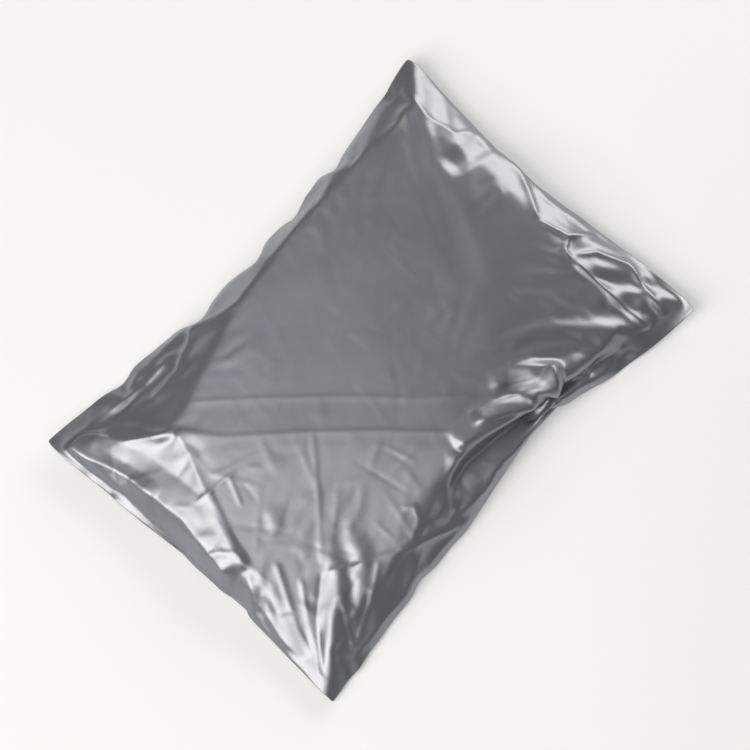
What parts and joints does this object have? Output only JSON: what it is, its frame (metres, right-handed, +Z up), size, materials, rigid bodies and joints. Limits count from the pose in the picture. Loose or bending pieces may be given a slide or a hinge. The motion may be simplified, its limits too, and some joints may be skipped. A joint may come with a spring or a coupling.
{
  "type": "poly mailer bag",
  "caption": "Small filled poly mailer of grey film, sealed flat pack with welded sides, folded bottom end and glued lip, lying on its closure side.",
  "frame": {"origin": "middle of the bag's outline, on the floor that the pack lies on", "axes": "+Z up out of the plain panel, +Y along the bag from its bottom fold to the folded lip, +X across the bag"},
  "size_m": [0.1634, 0.2254, 0.0237],
  "materials": {
    "grey_film": "soft gloss polyethylene film, creased"
  },
  "bodies": {
    "root": {"mailer_bag": "grey_film"}
  },
  "joints": []
}
